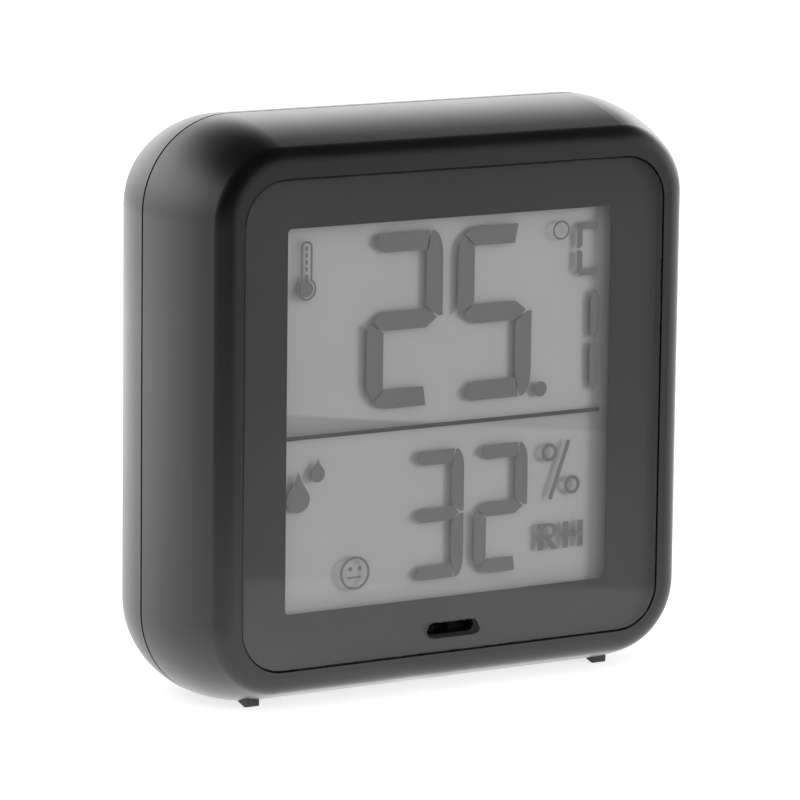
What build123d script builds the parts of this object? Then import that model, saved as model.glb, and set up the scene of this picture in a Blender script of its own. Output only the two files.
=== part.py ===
from build123d import *
import math
import os

os.makedirs("parts", exist_ok=True)

# A compact indoor temperature and humidity display. X runs to the right, Y to the back and Z up.
# The origin is on the table, under the middle of the case.

# Case
lens_size = 54.0
side_rim = 5.5
top_rim = 5.85
bottom_rim = 5.2
base_flat_cut = 0.7
corner_radius = 10.5
foot_drop = 0.35
wall = 1.6
seam_depth = 12.9
front_side_radius = 29.0
front_edge_radius = 2.2
rear_depth = 10.4
rear_side_radius = 17.0
rear_edge_radius = 4.5
seam_gap = 0.3
seam_gap_depth = 0.6
lip_height = 1.6
lip_wall = 0.9
lip_gap = 0.2
core_share = 0.8
overrun = 5.0

# Panel in front of the display
lens_thickness = 1.3
lens_corner = 5.0
lens_gap = 0.12
lens_edge = 0.12
mask_thickness = 0.1
glue_film = 0.02
tape_thickness = 0.15
plate_thickness = 1.2
window_width = 41.9
window_height = 42.5
window_rise = 0.2
window_corner = 0.5
slot_width = 6.7
slot_height = 1.5
slot_rise = 2.5
slot_flare = 0.15

# Display cell
lcd_side_edge = 1.5
lcd_bottom_edge = 1.2
lcd_top_edge = 0.8
contact_ledge = 2.0
lcd_gap = 0.2
film_gap = 0.1
film_edge = 0.3
polariser_thickness = 0.15
glass_thickness = 0.75
reflector_thickness = 0.2
holder_thickness = 1.2
holder_bar = 1.2
strip_thickness = 1.6
strip_side = 3.0
strip_gap = 0.15

# Circuit board and what it carries
board_thickness = 1.0
board_side_gap = 0.9
board_bottom_gap = 0.9
board_top_gap = 3.1
board_notch_gap = 0.9
board_screw_inset = 2.0
board_screw_low = 12.0
board_screw_high = 16.5
board_boss_radius = 1.9
board_screw_radius = 0.8
board_screw_head_radius = 1.5
board_screw_head = 1.0
board_screw_reach = 2.4
screw_gap = 0.15
chip_radius = 4.6
chip_height = 1.1
chip_round = 0.6
sensor_size = 1.6
sensor_height = 0.7
sensor_port_radius = 0.4
sensor_port_depth = 0.35
gasket_wall = 1.0
gasket_gap = 0.15
crystal_radius = 1.0
crystal_length = 5.5
small_length = 1.8
small_width = 1.0
capacitor_height = 0.9
resistor_height = 0.5

# Unit button and its switch
button_x = 14.0
button_drop = 10.6
button_radius = 2.3
button_dip = 0.2
button_flange_radius = 3.0
button_flange = 1.0
button_round = 0.4
button_gap = 0.1
button_travel = 0.4
stem_radius = 1.3
sleeve_wall = 0.8
sleeve_gap = 0.3
sleeve_length = 4.0
switch_size = 6.0
switch_height = 3.4
switch_well = 1.2
plunger_radius = 1.7
plunger_gap = 0.1
plunger_proud = 0.6
touch_gap = 0.05

# Battery and its place in the rear cover
cell_radius = 5.25
cell_length = 43.5
cell_round = 0.5
nub_radius = 1.9
nub_length = 1.0
cell_gap = 0.4
cell_floor_gap = 0.25
cell_door_gap = 1.15
bay_floor = 1.2
bay_wall = 1.5
bay_end_gap = 0.1
bay_rise = 10.3
contact_thickness = 0.4
contact_width = 8.0
contact_height = 9.0
leaf_width = 5.0
leaf_thickness = 0.3
leaf_reach = 3.5
leaf_half_span = 3.0
tab_width = 2.0
tab_gap = 0.25
door_end_ledge = 1.0
door_side_ledge = 0.8
door_gap = 0.15
door_thickness = 1.5
door_pin_radius = 0.4
door_pin_length = 0.8
door_pin_gap = 0.06
grip_count = 4
grip_pitch = 2.0
grip_width = 0.8
grip_depth = 0.35
grip_end = 4.0
nail_radius = 3.0
nail_depth = 1.0
nail_shift = 0.5

# Fold-out leg
leg_width = 25.6
leg_length = 26.0
leg_heel = 2.4
leg_thickness = 2.2
leg_dip = 0.1
leg_gap = 0.5
leg_side_gap = 0.35
leg_tip_round = 4.0
leg_hollow_depth = 1.0
leg_hollow_rim = 3.0
leg_tip_pad = 7.0
barrel_radius = 1.6
leg_pin_radius = 0.75
leg_pin_gap = 0.05
pocket_drop = 1.6
pocket_depth = 3.8
pocket_floor = 1.2
pocket_wall = 1.4
scoop_radius = 5.5
scoop_depth = 1.6
scoop_rise = 2.6

# Magnets, hanging hole, case screws and feet
magnet_radius = 4.5
magnet_thickness = 1.5
magnet_sink = 0.7
magnet_gap = 0.1
magnet_x = 20.0
magnet_drop = 12.2
magnet_ring = 0.8
keyhole_head_radius = 2.9
keyhole_neck_radius = 1.4
keyhole_rise = 3.2
keyhole_drop = 11.8
case_screw_inset = 7.3
case_screw_radius = 1.1
case_screw_head_radius = 1.9
case_screw_head = 1.3
case_screw_reach = 7.0
case_screw_grip = 3.0
front_boss_radius = 2.5
rear_boss_radius = 3.1
head_gap = 0.2
foot_x = 22.85
foot_width = 1.6
foot_length = 1.9
foot_flat = 0.6
foot_embed = 0.8
foot_round = 0.25
front_foot_depth = 4.9
rear_foot_depth = 15.6

# Depths, from the front of the panel to the back of the case
body_depth = seam_depth + rear_depth
front_y = -body_depth / 2
back_y = body_depth / 2
seam_y = front_y + seam_depth
lens_back_y = front_y + lens_thickness
mask_y = lens_back_y + glue_film
tape_y = mask_y + mask_thickness
floor_y = tape_y + tape_thickness
plate_y = floor_y + plate_thickness
polariser_y = tape_y + film_gap
glass_y = polariser_y + polariser_thickness + glue_film
ledge_y = glass_y + glass_thickness
rear_glass_y = ledge_y + glue_film
reflector_y = rear_glass_y + glass_thickness + glue_film
holder_y = reflector_y + reflector_thickness
board_y = holder_y + holder_thickness
board_back_y = board_y + board_thickness
inner_back_y = back_y - wall

# Widths and heights
body_width = lens_size + 2 * side_rim
half_width = body_width / 2
base_z = foot_drop
crown_bottom = base_z - base_flat_cut
lens_bottom = crown_bottom + bottom_rim
lens_z = lens_bottom + lens_size / 2
lens_top = lens_bottom + lens_size
crown_top = lens_top + top_rim
body_height = crown_top - crown_bottom
body_z = (crown_top + crown_bottom) / 2
window_z = lens_z + window_rise
slot_z = lens_bottom + slot_rise
lcd_bottom = window_z - window_height / 2 - lcd_bottom_edge
rear_glass_top = window_z + window_height / 2 + lcd_top_edge
lcd_top = rear_glass_top + contact_ledge
lcd_width = window_width + 2 * lcd_side_edge


def facing(y):
    """The plane across the case at that depth. It looks to the front, with X to the right and Z up."""
    return Plane.XZ.offset(-y)


def turn_angle(depth, side, edge):
    """Degrees that the crowned side turns through before the small edge radius takes over."""
    return math.degrees(math.asin((depth - edge) / (side - edge)))


def seam_path():
    """The outline at the seam, as one closed wire that starts half way up the right side."""
    reach_x = half_width - corner_radius
    with BuildLine(facing(seam_y)) as path:
        start = Line((half_width, body_z), (half_width, crown_top - corner_radius))
        upper_right = JernArc(start @ 1, start % 1, corner_radius, 90)
        top = Line(upper_right @ 1, Vector(-reach_x, seam_y, crown_top))
        upper_left = JernArc(top @ 1, top % 1, corner_radius, 90)
        left = Line(upper_left @ 1, Vector(-half_width, seam_y, crown_bottom + corner_radius))
        lower_left = JernArc(left @ 1, left % 1, corner_radius, 90)
        bottom = Line(lower_left @ 1, Vector(reach_x, seam_y, crown_bottom))
        lower_right = JernArc(bottom @ 1, bottom % 1, corner_radius, 90)
        Line(lower_right @ 1, start @ 0)
    return path.wire()


def pillow(depth, side, edge, way, skin):
    """A solid half of the case, drawn in by skin. Way is -1 for the front half and 1 for the back half."""
    core_inset = corner_radius * core_share
    side_x = half_width - skin
    core_x = half_width - core_inset
    turn = turn_angle(depth, side, edge)
    with BuildSketch(Plane.XY.offset(body_z)) as section:
        with BuildLine():
            crown = JernArc((side_x, seam_y), (0, way), side - skin, way * turn)
            rim = JernArc(crown @ 1, crown % 1, edge - skin, way * (90 - turn))
            face = Line(rim @ 1, (core_x, (rim @ 1).Y))
            core_side = Line(face @ 1, (core_x, seam_y))
            Line(core_side @ 1, crown @ 0)
        make_face()
    with BuildPart() as half:
        sweep(sections=section.sketch, path=seam_path())
        with BuildSketch(facing(max(seam_y, seam_y + way * (depth - skin)))):
            with Locations((0, body_z)):
                RectangleRounded(2 * core_x, body_height - 2 * core_inset, corner_radius - core_inset)
        extrude(amount=depth - skin)
    return half.part


def seam_groove(y):
    """The shadow gap that each half leaves at the seam, as a ring in front of the plane y."""
    with BuildPart() as groove:
        with BuildSketch(facing(y)):
            with Locations((0, body_z)):
                Rectangle(body_width + overrun, body_height + overrun)
                RectangleRounded(
                    body_width - 2 * seam_gap_depth,
                    body_height - 2 * seam_gap_depth,
                    corner_radius - seam_gap_depth,
                    mode=Mode.SUBTRACT,
                )
        extrude(amount=seam_gap / 2)
    return groove.part


case_screw_x = half_width - case_screw_inset
case_screw_low = crown_bottom + case_screw_inset
case_screw_high = crown_top - case_screw_inset
case_screw_places = [
    (-case_screw_x, case_screw_low),
    (case_screw_x, case_screw_low),
    (-case_screw_x, case_screw_high),
    (case_screw_x, case_screw_high),
]
slab_top = base_z + wall
head_y = seam_y + case_screw_grip

# Circuit board outline and the places of its screws
skin_radius = front_side_radius - wall
board_inset = wall + skin_radius - math.sqrt(skin_radius**2 - (seam_y - board_y) ** 2)
board_half_width = half_width - board_inset - board_side_gap
board_bottom = crown_bottom + board_inset + board_bottom_gap
board_top = crown_top - board_inset - board_top_gap
board_height = board_top - board_bottom
board_z = (board_top + board_bottom) / 2
board_screw_x = board_half_width - board_screw_inset
board_screw_places = [
    (-board_screw_x, lens_z - board_screw_low),
    (board_screw_x, lens_z - board_screw_low),
    (-board_screw_x, lens_z + board_screw_high),
    (board_screw_x, lens_z + board_screw_high),
]
board_screw_tip_y = board_y - board_screw_reach

# Battery bay
bay_z = lens_z + bay_rise
bay_half_height = cell_radius + cell_gap
bay_half_width = (cell_length + nub_length + leaf_reach) / 2 + contact_thickness + bay_end_gap
bay_front_y = back_y - door_thickness - cell_door_gap - 2 * cell_radius - cell_floor_gap - bay_floor
bay_floor_y = bay_front_y + bay_floor
cell_y = bay_floor_y + cell_floor_gap + cell_radius
door_half_width = bay_half_width + door_end_ledge - door_gap
door_half_height = bay_half_height + door_side_ledge - door_gap
door_axis_x = -door_half_width + door_thickness / 2
door_axis_y = back_y - door_thickness / 2
contact_outer_x = bay_half_width - bay_end_gap
contact_inner_x = contact_outer_x - contact_thickness

# Leg pocket
pocket_top = bay_z - bay_half_height - bay_wall - pocket_drop
leg_axis_z = pocket_top - leg_gap - math.hypot(barrel_radius, leg_heel)
leg_axis_y = back_y - leg_dip - barrel_radius
leg_tip_z = leg_axis_z - leg_length
pocket_bottom = leg_tip_z - leg_gap
pocket_half_width = leg_width / 2 + leg_side_gap
leg_back_y = back_y - leg_dip

# Button, magnets and hanging hole
button_z = crown_top - button_drop
sleeve_radius = button_flange_radius + sleeve_gap
flange_y = inner_back_y - button_gap
switch_back_y = board_back_y + switch_height
plunger_y = switch_back_y + plunger_proud
magnet_z = lens_z - magnet_drop
keyhole_z = crown_top - keyhole_drop

front_outer = pillow(seam_depth, front_side_radius, front_edge_radius, -1, 0)
front_inner = pillow(seam_depth, front_side_radius, front_edge_radius, -1, wall)
rear_outer = pillow(rear_depth, rear_side_radius, rear_edge_radius, 1, 0)
rear_inner = pillow(rear_depth, rear_side_radius, rear_edge_radius, 1, wall)
leg_form = pillow(rear_depth, rear_side_radius, rear_edge_radius, 1, leg_dip)
front_groove = seam_groove(seam_y)
rear_groove = seam_groove(seam_y + seam_gap / 2)

# Hollow of the front shell: the inner form, less the face plate, the base slab and the screw bosses
with BuildPart() as front_hollow:
    add(front_inner)
    with BuildSketch(facing(plate_y)):
        with Locations((0, body_z)):
            Rectangle(body_width, body_height)
    extrude(amount=plate_thickness + overrun, mode=Mode.SUBTRACT)
    with BuildSketch(Plane.XY.offset(slab_top)):
        Rectangle(body_width, body_depth)
    extrude(amount=-overrun, mode=Mode.SUBTRACT)
    with BuildSketch(facing(seam_y)):
        with Locations(*case_screw_places):
            Circle(front_boss_radius)
    extrude(amount=seam_depth, mode=Mode.SUBTRACT)
    with BuildSketch(facing(board_y)):
        with Locations(*board_screw_places):
            Circle(board_boss_radius)
    extrude(amount=board_y - plate_y, mode=Mode.SUBTRACT)

# Front shell
with BuildPart() as front_shell:
    add(front_outer)
    add(front_hollow.part, mode=Mode.SUBTRACT)
    # Flat base
    with BuildSketch(Plane.XY.offset(base_z)):
        Rectangle(body_width, body_depth)
    extrude(amount=-overrun, mode=Mode.SUBTRACT)
    # Recess for the panel
    with BuildSketch(facing(floor_y)):
        with Locations((0, lens_z)):
            RectangleRounded(lens_size + 2 * lens_gap, lens_size + 2 * lens_gap, lens_corner + lens_gap)
    extrude(amount=floor_y - front_y + overrun, mode=Mode.SUBTRACT)
    # Openings for the display cell and for the air to the sensor
    with BuildSketch(facing(plate_y)):
        with Locations((0, (lcd_top + lcd_bottom) / 2)):
            Rectangle(lcd_width + 2 * lcd_gap, lcd_top - lcd_bottom + 2 * lcd_gap)
        with Locations((0, slot_z)):
            SlotOverall(slot_width, slot_height)
    extrude(amount=plate_thickness + overrun, mode=Mode.SUBTRACT)
    # Pilot holes
    with BuildSketch(facing(seam_y)):
        with Locations(*case_screw_places):
            Circle(case_screw_radius)
    extrude(amount=case_screw_reach + screw_gap, mode=Mode.SUBTRACT)
    with BuildSketch(facing(board_y)):
        with Locations(*board_screw_places):
            Circle(board_screw_radius)
    extrude(amount=board_screw_reach + screw_gap, mode=Mode.SUBTRACT)
    # Pockets for the feet
    with BuildSketch(Plane.XY.offset(base_z + foot_embed)):
        with Locations(
            (-foot_x, front_y + front_foot_depth + foot_length / 2),
            (foot_x, front_y + front_foot_depth + foot_length / 2),
        ):
            Rectangle(foot_width, foot_length)
    extrude(amount=-overrun, mode=Mode.SUBTRACT)
    add(front_groove, mode=Mode.SUBTRACT)
front_shell.part.label = "front_shell"
export_step(front_shell.part, "parts/front_shell.step")

# Clear panel
with BuildPart() as display_lens:
    with BuildSketch(facing(lens_back_y)):
        with Locations((0, lens_z)):
            RectangleRounded(lens_size, lens_size, lens_corner)
    extrude(amount=lens_thickness)
    chamfer(display_lens.faces().sort_by(Axis.Y)[0].edges(), lens_edge)
    with BuildSketch(facing(lens_back_y)):
        with Locations((0, slot_z)):
            SlotOverall(slot_width, slot_height)
    extrude(amount=lens_thickness, mode=Mode.SUBTRACT)
    front_hole = display_lens.faces().sort_by(Axis.Y)[0].inner_wires()[0]
    chamfer(front_hole.edges(), slot_flare)
display_lens.part.label = "display_lens"
export_step(display_lens.part, "parts/display_lens.step")

# Print glued behind the panel, open at the display and at the slot
with BuildPart() as lens_mask:
    with BuildSketch(facing(tape_y)):
        with Locations((0, lens_z)):
            RectangleRounded(lens_size, lens_size, lens_corner)
        with Locations((0, window_z)):
            RectangleRounded(window_width, window_height, window_corner, mode=Mode.SUBTRACT)
        with Locations((0, slot_z)):
            SlotOverall(slot_width, slot_height, mode=Mode.SUBTRACT)
    extrude(amount=mask_thickness)
lens_mask.part.label = "lens_mask"
export_step(lens_mask.part, "parts/lens_mask.step")

# Adhesive frame on the floor of the recess, round the display cell and the slot
with BuildPart() as lens_tape:
    with BuildSketch(facing(floor_y)):
        with Locations((0, lens_z)):
            RectangleRounded(lens_size - 2 * lens_edge, lens_size - 2 * lens_edge, lens_corner - lens_edge)
        with Locations((0, (lcd_top + lcd_bottom) / 2)):
            Rectangle(lcd_width + 2 * lcd_gap, lcd_top - lcd_bottom + 2 * lcd_gap, mode=Mode.SUBTRACT)
        with Locations((0, slot_z)):
            SlotOverall(slot_width, slot_height, mode=Mode.SUBTRACT)
    extrude(amount=tape_thickness)
lens_tape.part.label = "lens_tape"
export_step(lens_tape.part, "parts/lens_tape.step")

# Display cell: two glasses between two films, a film of glue apart, with a ledge of contacts along the
# top of the front glass
film_width = lcd_width - 2 * film_edge
film_height = rear_glass_top - lcd_bottom - 2 * film_edge
film_z = (rear_glass_top + lcd_bottom) / 2

with BuildPart() as lcd_front_polariser:
    with BuildSketch(facing(glass_y - glue_film)):
        with Locations((0, film_z)):
            Rectangle(film_width, film_height)
    extrude(amount=polariser_thickness)
lcd_front_polariser.part.label = "lcd_front_polariser"
export_step(lcd_front_polariser.part, "parts/lcd_front_polariser.step")

with BuildPart() as lcd_front_glass:
    with BuildSketch(facing(ledge_y)):
        with Locations((0, (lcd_top + lcd_bottom) / 2)):
            Rectangle(lcd_width, lcd_top - lcd_bottom)
    extrude(amount=glass_thickness)
lcd_front_glass.part.label = "lcd_front_glass"
export_step(lcd_front_glass.part, "parts/lcd_front_glass.step")

with BuildPart() as lcd_rear_glass:
    with BuildSketch(facing(reflector_y - glue_film)):
        with Locations((0, film_z)):
            Rectangle(lcd_width, rear_glass_top - lcd_bottom)
    extrude(amount=glass_thickness)
lcd_rear_glass.part.label = "lcd_rear_glass"
export_step(lcd_rear_glass.part, "parts/lcd_rear_glass.step")

with BuildPart() as lcd_reflector:
    with BuildSketch(facing(holder_y)):
        with Locations((0, film_z)):
            Rectangle(film_width, film_height)
    extrude(amount=reflector_thickness)
lcd_reflector.part.label = "lcd_reflector"
export_step(lcd_reflector.part, "parts/lcd_reflector.step")

# Rubber strip from the contact ledge back to the board
strip_z = rear_glass_top + contact_ledge / 2
strip_width = lcd_width - 2 * strip_side

with BuildPart() as zebra_connector:
    with BuildSketch(facing(board_y)):
        with Locations((0, strip_z)):
            Rectangle(strip_width, strip_thickness)
    extrude(amount=board_y - ledge_y)
zebra_connector.part.label = "zebra_connector"
export_step(zebra_connector.part, "parts/zebra_connector.step")

# Plate that presses the display cell forward and guides the strip
holder_top = strip_z + strip_thickness / 2 + strip_gap + holder_bar
holder_half_width = lcd_width / 2 - lcd_gap

with BuildPart() as lcd_holder:
    with BuildSketch(facing(board_y)):
        with Locations((0, (holder_top + lcd_bottom) / 2)):
            Rectangle(2 * holder_half_width, holder_top - lcd_bottom)
        with Locations((0, strip_z)):
            Rectangle(strip_width + 2 * strip_gap, strip_thickness + 2 * strip_gap, mode=Mode.SUBTRACT)
    extrude(amount=holder_thickness)
lcd_holder.part.label = "lcd_holder"
export_step(lcd_holder.part, "parts/lcd_holder.step")

# Circuit board, notched at its corners for the case bosses
notch_reach = case_screw_inset + rear_boss_radius + board_notch_gap

with BuildPart() as circuit_board:
    with BuildSketch(facing(board_back_y)):
        with Locations((0, board_z)):
            Rectangle(2 * board_half_width, board_height)
        with Locations((0, body_z)):
            with GridLocations(body_width, body_height, 2, 2):
                Rectangle(2 * notch_reach, 2 * notch_reach, mode=Mode.SUBTRACT)
        with Locations(*board_screw_places):
            Circle(board_screw_radius + screw_gap, mode=Mode.SUBTRACT)
    extrude(amount=board_thickness)
circuit_board.part.label = "circuit_board"
export_step(circuit_board.part, "parts/circuit_board.step")

with BuildPart() as board_screws:
    with BuildSketch(facing(board_back_y)):
        with Locations(*board_screw_places):
            Circle(board_screw_radius)
    extrude(amount=board_back_y - board_screw_tip_y)
    with BuildSketch(facing(board_back_y + board_screw_head)):
        with Locations(*board_screw_places):
            Circle(board_screw_head_radius)
    extrude(amount=board_screw_head)
    with BuildSketch(facing(board_back_y + board_screw_head)):
        with Locations(*board_screw_places):
            Rectangle(board_screw_head_radius, board_screw_radius / 2)
            Rectangle(board_screw_radius / 2, board_screw_head_radius)
    extrude(amount=board_screw_head / 2, mode=Mode.SUBTRACT)
board_screws.part.label = "board_screws"
export_step(board_screws.part, "parts/board_screws.step")

# Components on the back of the board, at shares of its half width and half height from its middle
chip_x_share = -0.35
chip_z_share = -0.25
crystal_x_share = -0.05
crystal_z_share = -0.5
capacitor_shares = ((0.2, -0.62), (-0.62, 0.62), (-0.62, 0.76))
resistor_shares = ((0.3, -0.2), (0.3, -0.32), (0.42, -0.2), (0.42, -0.32))


def on_board(x_share, z_share):
    """A place on the board, from shares of its half width and half height."""
    return (x_share * board_half_width, board_z + z_share * board_height / 2)


with BuildPart() as controller_chip:
    with BuildSketch(facing(board_back_y + chip_height)):
        with Locations(on_board(chip_x_share, chip_z_share)):
            Circle(chip_radius)
    extrude(amount=chip_height)
    fillet(controller_chip.faces().sort_by(Axis.Y)[-1].edges(), chip_round)
controller_chip.part.label = "controller_chip"
export_step(controller_chip.part, "parts/controller_chip.step")

crystal_x, crystal_z = on_board(crystal_x_share, crystal_z_share)

with BuildPart() as quartz_crystal:
    with BuildSketch(Plane.XY.offset(crystal_z)):
        with Locations((crystal_x, board_back_y + crystal_radius)):
            Circle(crystal_radius)
    extrude(amount=crystal_length)
quartz_crystal.part.label = "quartz_crystal"
export_step(quartz_crystal.part, "parts/quartz_crystal.step")

with BuildPart() as board_capacitors:
    with BuildSketch(facing(board_back_y + capacitor_height)):
        with Locations(*[on_board(*shares) for shares in capacitor_shares]):
            Rectangle(small_length, small_width)
    extrude(amount=capacitor_height)
board_capacitors.part.label = "board_capacitors"
export_step(board_capacitors.part, "parts/board_capacitors.step")

with BuildPart() as board_resistors:
    with BuildSketch(facing(board_back_y + resistor_height)):
        with Locations(*[on_board(*shares) for shares in resistor_shares]):
            Rectangle(small_width, small_length / 2)
    extrude(amount=resistor_height)
board_resistors.part.label = "board_resistors"
export_step(board_resistors.part, "parts/board_resistors.step")

# Sensor on the front of the board, in a foam pad whose opening leads air in from the slot
with BuildPart() as climate_sensor:
    with BuildSketch(facing(board_y)):
        with Locations((0, slot_z)):
            Rectangle(sensor_size, sensor_size)
    extrude(amount=sensor_height)
    with BuildSketch(facing(board_y - sensor_height)):
        with Locations((0, slot_z)):
            Circle(sensor_port_radius)
    extrude(amount=-sensor_port_depth, mode=Mode.SUBTRACT)
climate_sensor.part.label = "climate_sensor"
export_step(climate_sensor.part, "parts/climate_sensor.step")

gasket_inner = sensor_size + 2 * gasket_gap

with BuildPart() as sensor_gasket:
    with BuildSketch(facing(board_y)):
        with Locations((0, slot_z)):
            RectangleRounded(
                slot_width + 2 * gasket_wall,
                gasket_inner + 2 * gasket_wall,
                gasket_wall / 2 + gasket_inner / 2,
            )
            Rectangle(gasket_inner, gasket_inner, mode=Mode.SUBTRACT)
    extrude(amount=board_y - plate_y)
sensor_gasket.part.label = "sensor_gasket"
export_step(sensor_gasket.part, "parts/sensor_gasket.step")

# Push switch on the board
with BuildPart() as unit_switch:
    with BuildSketch(facing(switch_back_y)):
        with Locations((button_x, button_z)):
            RectangleRounded(switch_size, switch_size, button_round)
    extrude(amount=switch_height)
    with BuildSketch(facing(switch_back_y)):
        with Locations((button_x, button_z)):
            Circle(plunger_radius + plunger_gap)
    extrude(amount=switch_well, mode=Mode.SUBTRACT)
unit_switch.part.label = "unit_switch"
export_step(unit_switch.part, "parts/unit_switch.step")

with BuildPart() as switch_plunger:
    with BuildSketch(facing(plunger_y)):
        with Locations((button_x, button_z)):
            Circle(plunger_radius)
    extrude(amount=plunger_proud + switch_well - button_travel - plunger_gap)
switch_plunger.part.label = "switch_plunger"
export_step(switch_plunger.part, "parts/switch_plunger.step")

with BuildPart() as unit_button:
    with BuildSketch(facing(back_y - button_dip)):
        with Locations((button_x, button_z)):
            Circle(button_radius)
    extrude(amount=back_y - button_dip - flange_y)
    fillet(unit_button.faces().sort_by(Axis.Y)[-1].edges(), button_round)
    with BuildSketch(facing(flange_y)):
        with Locations((button_x, button_z)):
            Circle(button_flange_radius)
    extrude(amount=button_flange)
    with BuildSketch(facing(flange_y - button_flange)):
        with Locations((button_x, button_z)):
            Circle(stem_radius)
    extrude(amount=flange_y - button_flange - plunger_y - touch_gap)
unit_button.part.label = "unit_button"
export_step(unit_button.part, "parts/unit_button.step")

# Battery cell, with its positive end to the right
with BuildPart() as battery_cell:
    cell_start_x = contact_inner_x - nub_length - cell_length
    with BuildSketch(Plane.YZ.offset(cell_start_x)):
        with Locations((cell_y, bay_z)):
            Circle(cell_radius)
    extrude(amount=cell_length)
    fillet(battery_cell.edges().filter_by(GeomType.CIRCLE), cell_round)
    with BuildSketch(Plane.YZ.offset(contact_inner_x - nub_length)):
        with Locations((cell_y, bay_z)):
            Circle(nub_radius)
    extrude(amount=nub_length)
battery_cell.part.label = "battery_cell"
export_step(battery_cell.part, "parts/battery_cell.step")

contact_middle_y = bay_floor_y + bay_end_gap + contact_height / 2

# Flat contact at the right end of the bay, with a tab that passes the bay's floor to the board
with BuildPart() as positive_contact:
    with BuildSketch(Plane.YZ.offset(contact_inner_x)):
        with Locations((contact_middle_y, bay_z)):
            Rectangle(contact_height, contact_width)
        with Locations(((board_back_y + contact_middle_y) / 2, bay_z)):
            Rectangle(contact_middle_y - board_back_y, tab_width)
    extrude(amount=contact_thickness)
positive_contact.part.label = "positive_contact"
export_step(positive_contact.part, "parts/positive_contact.step")

# Contact at the left end, with a bowed leaf that pushes on the cell
with BuildPart() as negative_contact:
    with BuildSketch(Plane.YZ.offset(-contact_outer_x)):
        with Locations((contact_middle_y, bay_z)):
            Rectangle(contact_height, contact_width)
        with Locations(((board_back_y + contact_middle_y) / 2, bay_z)):
            Rectangle(contact_middle_y - board_back_y, tab_width)
    extrude(amount=contact_thickness)
    with BuildSketch(Plane.XY.offset(bay_z - leaf_width / 2)):
        with BuildLine():
            outer_leaf = ThreePointArc(
                (-contact_inner_x, cell_y - leaf_half_span),
                (-contact_inner_x + leaf_reach, cell_y),
                (-contact_inner_x, cell_y + leaf_half_span),
            )
            inner_leaf = ThreePointArc(
                (-contact_inner_x, cell_y + leaf_half_span - leaf_thickness),
                (-contact_inner_x + leaf_reach - leaf_thickness, cell_y),
                (-contact_inner_x, cell_y - leaf_half_span + leaf_thickness),
            )
            Line(outer_leaf @ 1, inner_leaf @ 0)
            Line(inner_leaf @ 1, outer_leaf @ 0)
        make_face()
    extrude(amount=leaf_width)
negative_contact.part.label = "negative_contact"
export_step(negative_contact.part, "parts/negative_contact.step")

# Hollow of the rear cover: the inner form, less the base slab, bosses, battery bay, leg pocket and guides
with BuildPart() as rear_hollow:
    add(rear_inner)
    with BuildSketch(Plane.XY.offset(slab_top)):
        Rectangle(body_width, body_depth)
    extrude(amount=-overrun, mode=Mode.SUBTRACT)
    with BuildSketch(facing(back_y)):
        with Locations(*case_screw_places):
            Circle(rear_boss_radius)
    extrude(amount=rear_depth, mode=Mode.SUBTRACT)
    with BuildSketch(facing(back_y)):
        with Locations((0, bay_z)):
            Rectangle(2 * (bay_half_width + bay_wall), 2 * (bay_half_height + bay_wall))
    extrude(amount=rear_depth, mode=Mode.SUBTRACT)
    with BuildSketch(facing(back_y)):
        with Locations((0, (pocket_top + pocket_bottom) / 2)):
            Rectangle(2 * (pocket_half_width + pocket_wall), pocket_top - pocket_bottom + 2 * pocket_wall)
    extrude(amount=pocket_depth + pocket_floor, mode=Mode.SUBTRACT)
    with BuildSketch(facing(back_y)):
        with Locations((button_x, button_z)):
            Circle(sleeve_radius + sleeve_wall)
            Circle(sleeve_radius, mode=Mode.SUBTRACT)
        with Locations((-magnet_x, magnet_z), (magnet_x, magnet_z)):
            Circle(magnet_radius + magnet_gap + magnet_ring)
            Circle(magnet_radius + magnet_gap, mode=Mode.SUBTRACT)
    extrude(amount=wall + sleeve_length, mode=Mode.SUBTRACT)

# Lip that locates the rear cover inside the front shell
lip_inset = wall + lip_gap

with BuildPart() as lip:
    with BuildSketch(facing(seam_y + lip_height)):
        with Locations((0, body_z)):
            RectangleRounded(body_width - wall, body_height - wall, corner_radius - wall / 2)
            RectangleRounded(
                body_width - 2 * (lip_inset + lip_wall),
                body_height - 2 * (lip_inset + lip_wall),
                corner_radius - lip_inset - lip_wall,
                mode=Mode.SUBTRACT,
            )
    extrude(amount=lip_height)
    with BuildSketch(facing(seam_y)):
        with Locations((0, body_z)):
            RectangleRounded(
                body_width - 2 * lip_inset, body_height - 2 * lip_inset, corner_radius - lip_inset
            )
            RectangleRounded(
                body_width - 2 * (lip_inset + lip_wall),
                body_height - 2 * (lip_inset + lip_wall),
                corner_radius - lip_inset - lip_wall,
                mode=Mode.SUBTRACT,
            )
    extrude(amount=lip_height)
    # The lip stops above the slab of the front shell
    with BuildSketch(Plane.XY.offset(slab_top + lip_gap)):
        with Locations((0, seam_y - lip_height / 2)):
            Rectangle(body_width, lip_height)
    extrude(amount=-overrun, mode=Mode.SUBTRACT)

# Part of the battery bay that stands in front of the seam, inside the front shell
bay_front_block_depth = seam_y - bay_front_y

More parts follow.
